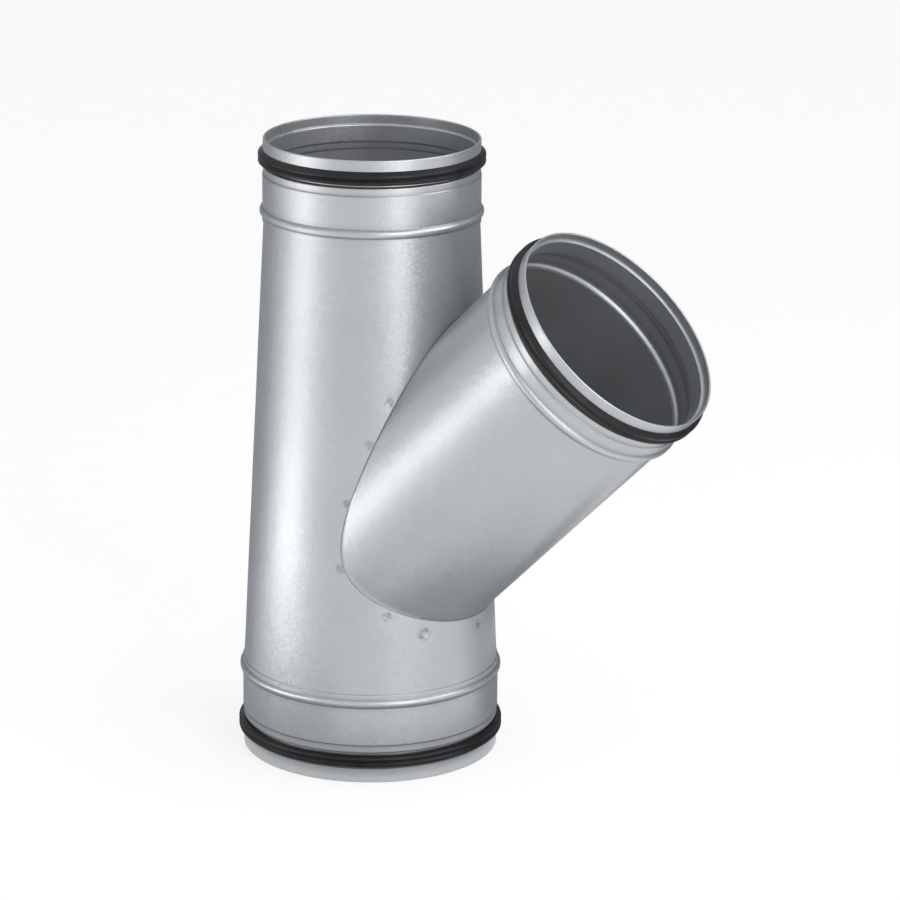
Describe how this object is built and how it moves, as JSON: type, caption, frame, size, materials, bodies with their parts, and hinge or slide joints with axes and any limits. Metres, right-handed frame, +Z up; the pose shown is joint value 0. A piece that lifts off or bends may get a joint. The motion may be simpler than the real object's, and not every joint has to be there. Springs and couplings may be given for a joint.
{
  "type": "lateral wye fitting",
  "caption": "Sheet-metal ventilation wye: a round run that narrows upwards, a round branch rising from it at a slant, and a push-in spigot with a black rubber lip seal at each mouth.",
  "frame": {"origin": "centre of the run's lower rim, on the run's axis, in the plane the fitting stands on", "axes": "+Z up the run's axis, from the wide mouth to the narrow one; the branch's axis lies in the XZ plane and points towards +X and +Z; +Y across"},
  "size_m": [0.3452, 0.186, 0.436],
  "materials": {
    "galvanised_sheet": "satin galvanised zinc with a fine spangle",
    "galvanised_collar": "satin galvanised zinc, rolled",
    "black_rubber": "matt moulded rubber"
  },
  "bodies": {
    "root": {"run_body": "galvanised_sheet", "branch_tube": "galvanised_sheet", "lower_collar": "galvanised_collar", "upper_collar": "galvanised_collar", "branch_collar": "galvanised_collar", "lower_seal": "black_rubber", "upper_seal": "black_rubber", "branch_seal": "black_rubber"}
  },
  "joints": []
}
